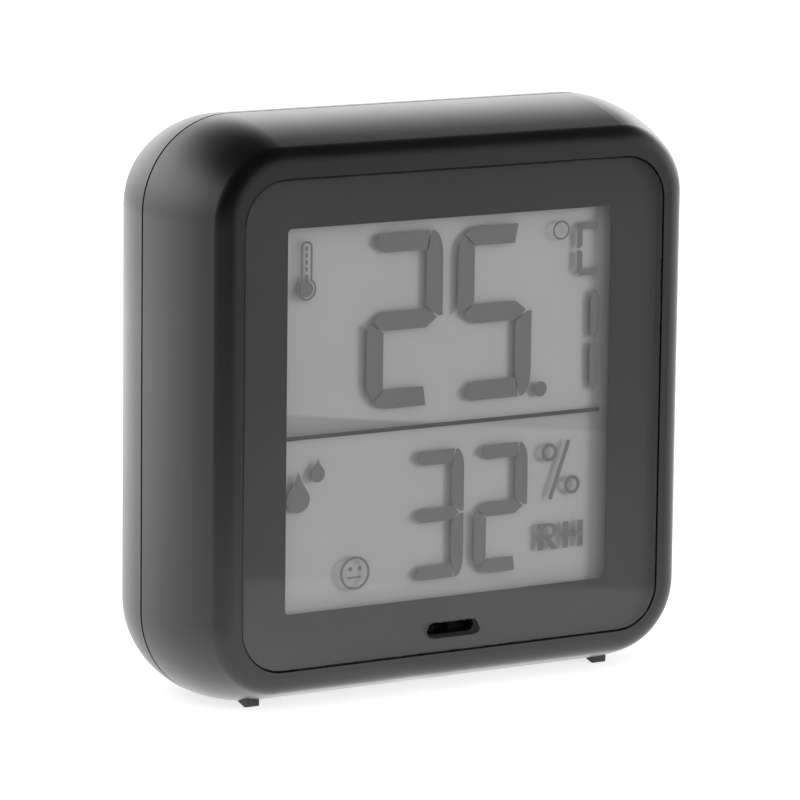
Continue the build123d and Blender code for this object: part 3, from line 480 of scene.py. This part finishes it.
def digit(left, bottom, width, height, stroke, gap, lit):
    """The outlines of a digit's lit segments. Way is 1 in the upper half and -1 in the lower one."""
    right_x, top, middle = left + width, bottom + height, bottom + height / 2
    round_off, half, slope = stroke * ROUND_SHARE, gap / 2, SLOPE_SHARE * stroke
    mitre_out, mitre_in = right_x - MITRE_OUT_SHARE * stroke, right_x - MITRE_IN_SHARE * stroke
    shapes = []

    def left_corner(edge, way, to):
        """The round corner on the left, from its mitre to the given angle."""
        return arc(left + round_off, edge - way * round_off, round_off, way * 135, way * to, 4)

    bars = (("A", top, 1, "F", "B"), ("D", bottom, -1, "E", "C"))
    for name, edge, way, left_column, right_column in bars:
        if name not in lit:
            continue
        inner = edge - way * stroke
        if left_column in lit:
            corner = left_corner(edge, way, 90)
            start = [(left + stroke + half, inner), (corner[0][0] + half, corner[0][1]), *corner[1:]]
        else:
            start = [(left + share * stroke, z)
                     for share, z in zip(POINT_SHARES, (inner, (edge + inner) / 2, edge))]
        if right_column in lit:
            finish = [(mitre_out - half, edge), (mitre_in - half, inner)]
        else:
            finish = [(right_x - share * stroke, z) for share, z in zip(CUT_SHARES[name], (edge, inner))]
        shapes.append(start + finish)
    for name, edge, way in (("B", top, 1), ("C", bottom, -1)):
        if name in lit:
            start_x, waist = mitre_out + half, middle + way * 1.5 * half
            corner = [(start_x + (right_x - start_x) * x, edge - way * round_off * (1 - z))
                      for z, x in arc(0, 0, 1, 15, 90, 5)]
            shapes.append([(right_x - stroke, edge - way * (stroke + gap)),
                           (mitre_in + half, edge - way * stroke), (start_x, edge), *corner,
                           (right_x, waist), (right_x - WAIST_RIGHT_SHARE * stroke, waist),
                           (right_x - stroke, middle + way * slope)])
    for name, edge, way in (("F", top, 1), ("E", bottom, -1)):
        if name in lit:
            waist = middle + way * 1.5 * half
            corner = [(x, z - way * half) for x, z in left_corner(edge, way, 180)]
            shapes.append([(left + stroke, edge - way * (stroke + half)), *corner,
                           (left, waist), (left + WAIST_LEFT_SHARE * stroke, waist),
                           (left + stroke, middle + way * slope)])
    if "G" in lit:
        tip, upper, lower = WAIST_SHARE * stroke + half, middle + stroke / 2, middle - stroke / 2
        shapes.append([(left + tip, middle), (left + stroke, upper), (right_x - stroke, upper),
                       (right_x - tip, middle), (right_x - stroke, lower), (left + stroke, lower)])
    return shapes


large = dict(bottom=0.55, width=9.75, height=19.5, stroke=2.15, gap=0.22)
small = dict(bottom=-19.2, width=7.0, height=14.55, stroke=1.6, gap=0.18)
shapes = digit(left=-10.25, lit="ABGED", **large) + digit(left=1.45, lit="AFGCD", **large)
shapes += digit(left=-4.4, lit="ABGCD", **small) + digit(left=4.0, lit="ABGED", **small)
POINT_X, POINT_Z, POINT_RADIUS = 12.5, 1.14, 0.88
shapes.append(disc(POINT_X, POINT_Z, POINT_RADIUS))
print("segments in the four digits:", len(shapes) - 1)

# %% [markdown]
# ## Units and icons
# The tenths digit and the letter C are narrow figures of the same style. The percent sign, the
# letters for relative humidity, the thermometer, the drops and the plain comfort face are drawn
# from arcs and strokes.

# %% Narrow figures and the degree sign
C_LEFT, C_RIGHT, C_LOW, C_TOP, C_STROKE = 17.1, 19.95, 13.6, 19.6, 0.75
for edge, way in ((C_TOP, 1), (C_LOW, -1)):
    inner, middle = edge - way * C_STROKE, (C_TOP + C_LOW) / 2
    shapes.append([(C_LEFT + 0.82, inner), (C_LEFT + 0.3, edge), (C_RIGHT, edge), (C_RIGHT, inner)])
    shapes.append([(C_LEFT, edge - way * 0.3), (C_LEFT, middle + way * 0.12),
                   (C_LEFT + 0.38, middle + way * 0.12), (C_LEFT + C_STROKE, middle + way * 0.38),
                   (C_LEFT + C_STROKE, inner - way * 0.06)])

ONE_LEFT, ONE_RIGHT, ONE_LOW, ONE_TOP = 19.05, 20.2, 0.55, 11.95
for edge, way in ((ONE_TOP, 1), (ONE_LOW, -1)):
    middle = (ONE_TOP + ONE_LOW) / 2
    shapes.append([(ONE_LEFT, edge - way * 1.0), (ONE_LEFT + 0.45, edge),
                   (ONE_LEFT + 0.85, edge - way * 0.15), (ONE_RIGHT, edge - way * 1.0),
                   (ONE_RIGHT, middle + way * 0.9), (ONE_LEFT + 0.62, middle + way * 0.12),
                   (ONE_LEFT, middle + way * 0.5)])
DEGREE_X, DEGREE_Z, DEGREE_RADIUS, DEGREE_STROKE = 14.96, 18.9, 1.1, 0.22
shapes.append(ring_shape(DEGREE_X, DEGREE_Z, DEGREE_RADIUS, DEGREE_STROKE))

# %% Thermometer, drops, percent sign, letters and face
BULB_X, BULB_Z, BULB_RADIUS = -17.95, 14.55, 1.27
STEM_HALF, STEM_TOP, LINE = 0.74, 19.85, 0.25


def thermometer_outline(inset):
    """The bulb's arc and the stem's round end, drawn in by inset."""
    bulb, stem = BULB_RADIUS - inset, STEM_HALF - inset
    mouth = math.degrees(math.acos(stem / bulb))
    low = arc(BULB_X, BULB_Z, bulb, 180 - mouth, 360 + mouth, 28)
    return low + arc(BULB_X, STEM_TOP - STEM_HALF, stem, 0, 180, 10)


def drop(x, bottom, radius, height):
    """A falling drop, with a round foot and a pointed tip."""
    middle, tip = bottom + radius, bottom + height
    shoulder, neck = tip - 0.35 * (tip - middle), 0.28 * radius
    return arc(x, middle, radius, -205, 25, 16) + [(x + neck, shoulder), (x, tip), (x - neck, shoulder)]


shapes.append((thermometer_outline(0), thermometer_outline(LINE)))
column = [(BULB_X + 0.2, BULB_Z + 1.6), (BULB_X - 0.2, BULB_Z + 1.6)]
shapes.append(arc(BULB_X, BULB_Z, 0.85, 110, 430, 24) + column)
shapes += [drop(-18.75, -10.1, 1.47, 4.6), drop(-16.3, -6.9, 0.92, 2.7)]
PERCENT_RADIUS, PERCENT_LINE, PERCENT_SLASH = 1.06, 0.44, 0.52
for x, z in ((13.87, -6.2), (16.99, -10.15)):
    shapes.append(ring_shape(x, z, PERCENT_RADIUS, PERCENT_LINE))
shapes.append(stroke_shape(16.45, -5.0, 14.05, -11.6, PERCENT_SLASH))

LETTER_LOW, LETTER_TOP, LETTER_STROKE = -17.35, -14.3, 0.78
R_LEFT, H_LEFT, H_RIGHT = 12.5, 15.85, 18.6
bowl = (LETTER_TOP - LETTER_LOW) * 0.29
bowl_low = LETTER_TOP - 2 * bowl
bowl_x, bar = R_LEFT + LETTER_STROKE, 0.44
shapes.append([(bowl_x, LETTER_TOP), *arc(bowl_x + 0.85, LETTER_TOP - bowl, bowl, 90, -90),
               (bowl_x, bowl_low), (bowl_x, bowl_low + bar),
               *arc(bowl_x + 0.75, LETTER_TOP - bowl, bowl - bar, -90, 90), (bowl_x, LETTER_TOP - bar)])
shapes.append([(bowl_x + 0.05, bowl_low - 0.01), (bowl_x + 0.95, bowl_low - 0.01),
               (bowl_x + 1.95, LETTER_LOW), (bowl_x + 1.1, LETTER_LOW)])
for x in (R_LEFT + LETTER_STROKE / 2, H_LEFT + LETTER_STROKE / 2, H_RIGHT - LETTER_STROKE / 2):
    shapes.append(stroke_shape(x, LETTER_LOW, x, LETTER_TOP, LETTER_STROKE))
H_BAR_Z, H_BAR = -15.78, 0.6
shapes.append(stroke_shape(H_LEFT + LETTER_STROKE, H_BAR_Z, H_RIGHT - LETTER_STROKE, H_BAR_Z, H_BAR))

FACE_X, FACE_Z, FACE_RADIUS, FACE_LINE = -11.44, -17.5, 1.9, 0.3
EYE_SIDE, EYE_RISE, EYE_RADIUS = 0.6, 0.5, 0.25
MOUTH_LEFT, MOUTH_RIGHT, MOUTH_DROP, MOUTH_LINE = 1.0, 0.8, 0.47, 0.2
mouth_z = FACE_Z - MOUTH_DROP
shapes.append(ring_shape(FACE_X, FACE_Z, FACE_RADIUS, FACE_LINE))
for x in (FACE_X - EYE_SIDE, FACE_X + EYE_SIDE):
    shapes.append(disc(x, FACE_Z + EYE_RISE, EYE_RADIUS, 12))
shapes.append(stroke_shape(FACE_X - MOUTH_LEFT, mouth_z, FACE_X + MOUTH_RIGHT, mouth_z, MOUTH_LINE))
print("flat shapes on the display:", len(shapes))

# %% [markdown]
# ## From outlines to thin pieces
# Every outline becomes a closed slab between two depths. A ring is bridged between its two
# outlines, so its hole stays open. The symbols' slabs go into one mesh, because they are one layer
# of the real display. The dividing line is darker, so it is a piece of its own.

# %% Build the symbols
SYMBOL_GAP = 0.003
SYMBOL_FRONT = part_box("lcd_front_glass")[1].y / MM + SYMBOL_GAP
SYMBOL_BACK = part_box("lcd_rear_glass")[0].y / MM - SYMBOL_GAP


def slab(mesh, outline):
    """Adds one outline, or a ring of two, as a closed slab."""
    loops = outline if isinstance(outline, tuple) else (outline,)
    layers = [[[mesh.verts.new((x * MM, depth * MM, (z + CENTRE_Z) * MM)) for x, z in loop]
               for loop in loops]
              for depth in (SYMBOL_FRONT, SYMBOL_BACK)]
    for first, second in zip(*layers):
        for i in range(len(first)):
            j = (i + 1) % len(first)
            mesh.faces.new((first[i], first[j], second[j], second[i]))
    for rings in layers:
        if len(rings) == 1:
            mesh.faces.new(rings[0])
        else:
            outer, hole = rings
            for i in range(len(outer)):
                j = (i + 1) % len(outer)
                mesh.faces.new((outer[i], outer[j], hole[j], hole[i]))


def as_piece(name, mesh, finish, body):
    """Turns a mesh being built into a finished piece that rides a body."""
    bmesh.ops.recalc_face_normals(mesh, faces=mesh.faces)
    data = bpy.data.meshes.new(name)
    mesh.to_mesh(data)
    mesh.free()
    place_piece(name, data, finish, body)


def place_piece(name, data, finish, body):
    """Puts a ready mesh in the scene, on its body and with the slot it belongs to."""
    data.materials.clear()
    data.materials.append(finish)
    piece = bpy.data.objects.new(name, data)
    bpy.context.scene.collection.objects.link(piece)
    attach(piece, body)
    print(name, "faces:", len(data.polygons))


DIVIDER_LEFT, DIVIDER_RIGHT, DIVIDER_WIDTH = -21.4, 20.5, 0.46
dividing_line = stroke_shape(DIVIDER_LEFT, DIVIDER_Z, DIVIDER_RIGHT, DIVIDER_Z, DIVIDER_WIDTH)
for name, outlines, ink in (("display_symbols", shapes, symbol_finish),
                            ("display_divider", [dividing_line], divider_finish)):
    layer = bmesh.new()
    for outline in outlines:
        slab(layer, outline)
    as_piece(name, layer, ink, "base")

# %% [markdown]
# ## Rows of equal bars
# The dashes of the thermometer, the carbon layers of the rubber strip that feeds the display, and
# the gold pads under it are rows of equal bars. One Geometry Nodes tree makes them all: a line of
# points, a bar on each, made real and given its finish. Its inputs are the count, the first place,
# the step and the bar's size.

# %% The row tree
def row_tree():
    tree = bpy.data.node_groups.new("row_of_bars", "GeometryNodeTree")
    face = tree.interface
    for name, kind in (("Count", "Int"), ("Start", "Vector"), ("Step", "Vector"), ("Size", "Vector"),
                       ("Finish", "Material")):
        face.new_socket(name, in_out="INPUT", socket_type="NodeSocket" + kind)
    face.new_socket("Geometry", in_out="OUTPUT", socket_type="NodeSocketGeometry")

    def add(kind, **links):
        made = tree.nodes.new(kind)
        for key, value in links.items():
            tree.links.new(value, made.inputs[key.replace("_", " ")])
        return made

    given = add("NodeGroupInput").outputs
    line = add("GeometryNodeMeshLine",
               Count=given["Count"], Start_Location=given["Start"], Offset=given["Step"])
    bar = add("GeometryNodeMeshCube", Size=given["Size"])
    placed = add("GeometryNodeInstanceOnPoints",
                 Points=line.outputs["Mesh"], Instance=bar.outputs["Mesh"])
    real = add("GeometryNodeRealizeInstances", Geometry=placed.outputs["Instances"])
    painted = add("GeometryNodeSetMaterial",
                  Geometry=real.outputs["Geometry"], Material=given["Finish"])
    add("NodeGroupOutput", Geometry=painted.outputs["Geometry"])
    return tree


ROW = row_tree()


def row_of_bars(name, count, start, step, size, finish, body):
    """Runs the row tree once and keeps its result as a plain mesh. Lengths are in millimetres."""
    carrier = bpy.data.objects.new(name + "_row", bpy.data.meshes.new(name + "_row"))
    bpy.context.scene.collection.objects.link(carrier)
    row = carrier.modifiers.new("row", "NODES")
    row.node_group = ROW
    ids = {item.name: item.identifier
           for item in ROW.interface.items_tree if item.in_out == "INPUT"}
    row[ids["Count"]] = count
    for key, lengths in (("Start", start), ("Step", step), ("Size", size)):
        row[ids[key]] = [v * MM for v in lengths]
    row[ids["Finish"]] = finish
    carrier.update_tag()
    bpy.context.view_layer.update()
    ready = carrier.evaluated_get(bpy.context.evaluated_depsgraph_get())
    data = bpy.data.meshes.new_from_object(ready)
    carrier.modifiers.clear()
    bpy.data.objects.remove(carrier)
    place_piece(name, data, finish, body)


# %% Dashes, carbon layers and pads
middle_y = (SYMBOL_FRONT + SYMBOL_BACK) / 2
DASHES, DASH_PITCH, DASH_WIDTH, DASH_HEIGHT, DASH_RISE = 4, 0.75, 0.26, 0.5, 2.2
row_of_bars("thermometer_dashes", DASHES, (BULB_X, middle_y, CENTRE_Z + BULB_Z + DASH_RISE),
            (0, 0, DASH_PITCH), (DASH_WIDTH, SYMBOL_BACK - SYMBOL_FRONT, DASH_HEIGHT),
            symbol_finish, "base")

strip_low, strip_high = (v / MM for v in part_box("zebra_connector"))
strip_mid = (strip_low + strip_high) / 2
STRIP_PITCH, STRIP_LAYER, STRIP_PROUD, STRIP_SHY, STRIP_ENDS = 0.65, 0.25, 0.02, 0.02, 1.0
layers = int((strip_high.x - strip_low.x - STRIP_ENDS) / STRIP_PITCH)
deep, tall = strip_high.y - strip_low.y - STRIP_SHY, strip_high.z - strip_low.z + 2 * STRIP_PROUD
row_of_bars("zebra_layers", layers,
            (-(layers - 1) / 2 * STRIP_PITCH, strip_mid.y, strip_mid.z), (STRIP_PITCH, 0, 0),
            (STRIP_LAYER, deep, tall), carbon_finish, "base")

board_low, _ = (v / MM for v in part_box("circuit_board"))
PAD_PITCH, PAD_SIZE = 1.3, (0.7, 0.03, 2.2)
pads = int((strip_high.x - strip_low.x) / PAD_PITCH)
row_of_bars("board_pads", pads,
            (-(pads - 1) / 2 * PAD_PITCH, board_low.y, strip_mid.z), (PAD_PITCH, 0, 0),
            PAD_SIZE, gold_finish, "base")

# %% [markdown]
# ## Lettering that such a device needs
# The back carries a unit sign by its button, and the cell shows its size, its voltage and its
# poles. Both are plain generic marks. Text is made a mesh first and then laid in place: flat on the
# back, where it is raised a tenth of a millimetre, and wrapped round the cell, where each point's
# height becomes an angle. The letters are first cut into low strips there, so that their faces can
# follow the round.

# %% Text as a mesh
EM_PER_CAPITAL = 1.38


def text_mesh(words, height, thick):
    """The words as a closed mesh, centred, in millimetres, facing up."""
    curve = bpy.data.curves.new("words", "FONT")
    curve.body, curve.size = words, height * EM_PER_CAPITAL
    curve.align_x, curve.align_y = "CENTER", "CENTER"
    curve.extrude, curve.resolution_u = thick / 2, 3
    writer = bpy.data.objects.new("words", curve)
    bpy.context.scene.collection.objects.link(writer)
    bpy.context.view_layer.update()
    ready = writer.evaluated_get(bpy.context.evaluated_depsgraph_get())
    data = bpy.data.meshes.new_from_object(ready)
    bpy.data.objects.remove(writer)
    letters = bmesh.new()
    letters.from_mesh(data)
    bmesh.ops.remove_doubles(letters, verts=letters.verts, dist=0.0005)
    bmesh.ops.recalc_face_normals(letters, faces=letters.faces)
    return letters


# %% Unit sign on the back
_, cover_high = (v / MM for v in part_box("rear_cover"))
button_low, button_high = (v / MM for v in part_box("unit_button"))
button_x, button_z = (button_low.x + button_high.x) / 2, (button_low.z + button_high.z) / 2
SIGN_HEIGHT, SIGN_THICK, SIGN_SINK, SIGN_SHIFT = 1.5, 0.16, 0.04, 6.4

sign = text_mesh("°C / °F", SIGN_HEIGHT, SIGN_THICK)
sign_y = cover_high.y + SIGN_THICK / 2 - SIGN_SINK
for point in sign.verts:
    across, upward, out = point.co
    point.co = Vector((button_x + SIGN_SHIFT - across, sign_y + out, button_z + upward)) * MM
as_piece("unit_sign", sign, printed("sign_pale_ink", 0.30, 0.5), "base")

# %% Marks on the cell
cell_y, cell_z = (cell_low.y + cell_high.y) / 2, (cell_low.z + cell_high.z) / 2
cell_radius = (cell_high.z - cell_low.z) / 2
WRAP_STEP, MARK_THICK, MARK_PROUD = 0.3, 0.04, 0.005


def on_cell(name, words, height, middle_x, finish):
    """Words wrapped round the cell's back, to be read from behind."""
    marks = text_mesh(words, height, MARK_THICK)
    cuts = int(height / WRAP_STEP)
    for i in range(-cuts, cuts + 1):
        whole, cut = [*marks.verts, *marks.edges, *marks.faces], (0, (i + 0.5) * WRAP_STEP, 0)
        bmesh.ops.bisect_plane(marks, geom=whole, plane_co=cut, plane_no=(0, 1, 0))
    for point in marks.verts:
        across, upward, out = point.co
        angle, reach = upward / cell_radius, cell_radius + MARK_PROUD + out
        around = (middle_x - across, cell_y + reach * math.cos(angle), cell_z + reach * math.sin(angle))
        point.co = Vector(around) * MM
    as_piece(name, marks, finish, "base")


ink_finish = printed("sleeve_ink", 0.03, 0.5)
pale_finish = printed("sleeve_pale_ink", 0.75, 0.5)
on_cell("cell_size_mark", "AAA  1.5 V", 3.0, (cell_low.x + cell_high.x) / 2 - 3, ink_finish)
on_cell("cell_plus_mark", "+", 4.2, cell_high.x - 5.9, pale_finish)
on_cell("cell_minus_mark", "-", 4.2, cell_low.x + 4.0, ink_finish)

# %% [markdown]
# ## The studio
# Black plastic shows its shape by what it mirrors. The backdrop behind it is bright, so surfaces
# seen at a glancing angle light up, and the room in front is dim, so the front stays dark. The
# floor is pale and keeps the shadow of the object. Rays from the camera see it white. Rays mirrored
# by the object see a floor that is bright behind the object and close to its feet, and dim towards
# the sides and the front.

# %% The room's light by direction
# Over these ranges of a flat direction's X or Y a side of the room grows bright
BEHIND, RIGHT_WALL = (-0.08, 0.66), (0.55, 0.95)
FRONT_RIGHT, FAR_RIGHT = (-0.05, 0.35), (0.52, 0.95)


def lit_side(made, x, y):
    """How bright the room is towards x, y: 1 behind, more to the right, 0 in front and to the left."""
    front = made.ramp(x, *FRONT_RIGHT) * 0.5 + made.ramp(x, *FAR_RIGHT) * 0.5
    return made.larger(made.ramp(y, *BEHIND), front) + made.ramp(x, *RIGHT_WALL) * 0.6


def along(parts, way_x, way_y):
    """How far a flat place or direction reaches along the given way."""
    return parts["X"] * way_x + parts["Y"] * way_y


# %% The floor
FLOOR_HALF = 6.0
PAPER, PAPER_LIFT = 0.80, 0.72
# Distances from the object in millimetres, over which the mirrored floor changes
NEAR_REACH, FAR_REACH, SHEET_EDGE = (30, 230), (330, 560), (-69, -65)
FEET_WAY, SHEET_WAY = (0.55, -0.835), (-0.57, 0.82)
DARK, BRIGHT, FEET = 0.08, 2.05, 1.1

floor_mesh = bmesh.new()
bmesh.ops.create_grid(floor_mesh, x_segments=8, y_segments=8, size=FLOOR_HALF)
floor_data = bpy.data.meshes.new("studio_floor")
floor_mesh.to_mesh(floor_data)
floor_mesh.free()
floor = bpy.data.objects.new("studio_floor", floor_data)
bpy.context.scene.collection.objects.link(floor)

studio = Finish("studio_floor")
flat = studio.vector("MULTIPLY", {0: studio.place(), 1: (1, 1, 0)})
reach = studio.node("VectorMath", {"operation": "LENGTH"}, {0: flat})["Value"]
way = studio.node("SeparateXYZ", {}, {"Vector": studio.vector("NORMALIZE", {0: flat})})
spot = studio.node("SeparateXYZ", {}, {"Vector": flat})
leftward = 1 - studio.ramp(way["X"], -0.5, 0.2)
distant = 1 - studio.ramp(reach, *FAR_REACH) * 0.4
far = DARK + lit_side(studio, way["X"], way["Y"]) * distant * BRIGHT + leftward * 0.3
near = FEET + studio.ramp(along(way, *FEET_WAY), 0.1, 1.1) * 0.6 + leftward * 0.6
away = studio.ramp(reach, *NEAR_REACH)
sheet_edge = studio.ramp(along(spot, *SHEET_WAY), *SHEET_EDGE)
level = (near * (1 - away) + far * away) * (0.68 + sheet_edge * 0.32)

rays = studio.node("LightPath")
paper = studio.node("BsdfDiffuse", {}, {"Color": grey(PAPER)})["BSDF"]
lift = studio.node("Emission", {}, {"Color": grey(1.0), "Strength": PAPER_LIFT})["Emission"]
bright_paper = studio.node("AddShader", {}, {0: paper, 1: lift})["Shader"]
seen = studio.larger(rays["Is Camera Ray"], rays["Is Transmission Ray"])
for_camera = studio.node("MixShader", {}, {0: seen, 1: paper, 2: bright_paper})["Shader"]
mirrored = studio.node("Emission", {}, {"Color": studio.level(level)})["Emission"]
either = {0: rays["Is Glossy Ray"], 1: for_camera, 2: mirrored}
floor_data.materials.append(studio.done(studio.node("MixShader", {}, either)["Shader"]))
studio.material.cycles.emission_sampling = "NONE"
floor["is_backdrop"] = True
print("floor in metres:", 2 * FLOOR_HALF)

# %% The room
# Ranges of a direction's X, Z or Y over which the room changes
TO_RIGHT, TOP, LOW_GLOW, BACK = (-0.3, 0.5), (0.47, 0.80), (0.0, 0.3), (-0.2, 0.3)

world = bpy.data.worlds.new("studio_room")
world.cycles.sampling_method = "NONE"
bpy.context.scene.world = world
room = Finish("studio_room", world)
way = room.node("SeparateXYZ", {}, {"Vector": room.node("TexCoord")["Generated"]})
to_right = room.ramp(way["X"], *TO_RIGHT)
height = 1 - room.ramp(way["Z"] + to_right * 0.12, *TOP)
risen = room.ramp(way["Z"], *LOW_GLOW) * (room.ramp(way["Y"], *BACK) * 1.95 - 0.85)
glow = 2.1 - to_right * 0.4 + risen
level = 0.01 + lit_side(room, way["X"], way["Y"]) * height * glow

rays = room.node("LightPath")
surround = room.node("Background", {}, {"Color": room.level(level)})["Background"]
even = room.node("Background", {}, {"Color": grey(0.50)})["Background"]
white = room.node("Background", {}, {"Color": grey(1.0)})["Background"]
lit_room = room.node("MixShader", {}, {0: rays["Is Glossy Ray"], 1: even, 2: surround})["Shader"]
seen = room.larger(rays["Is Camera Ray"], rays["Is Transmission Ray"])
room.done(room.node("MixShader", {}, {0: seen, 1: lit_room, 2: white})["Shader"])

# %% The lamps
MIDDLE = Vector((0, 0, 0.032))


def soft_lamp(name, place, size, power):
    """A square lamp aimed at the object's middle. It lights surfaces but isn't mirrored in them."""
    light = bpy.data.lights.new(name, "AREA")
    light.size, light.energy = size, power
    lamp = bpy.data.objects.new(name, light)
    lamp.location = place
    lamp.rotation_euler = (MIDDLE - Vector(place)).to_track_quat("-Z", "Y").to_euler()
    lamp.visible_glossy = False
    bpy.context.scene.collection.objects.link(lamp)


soft_lamp("key_right_front", (0.38, -0.50, 0.12), 0.27, 1.75)
soft_lamp("fill_front", (-0.25, -0.95, 0.70), 0.9, 2.1)
soft_lamp("rim_behind", (-0.35, 0.90, 0.55), 0.9, 4.0)

# %% [markdown]
# ## Closing
# The box of the finished model is measured, and how far it has grown past the box of the imported
# model is printed.

# %% Write the sizes and finish
visual_low, visual_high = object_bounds()
grown = (visual_high - visual_low) - (cad_high - cad_low)
print("grown in mm:", [round(v / MM, 3) for v in grown])
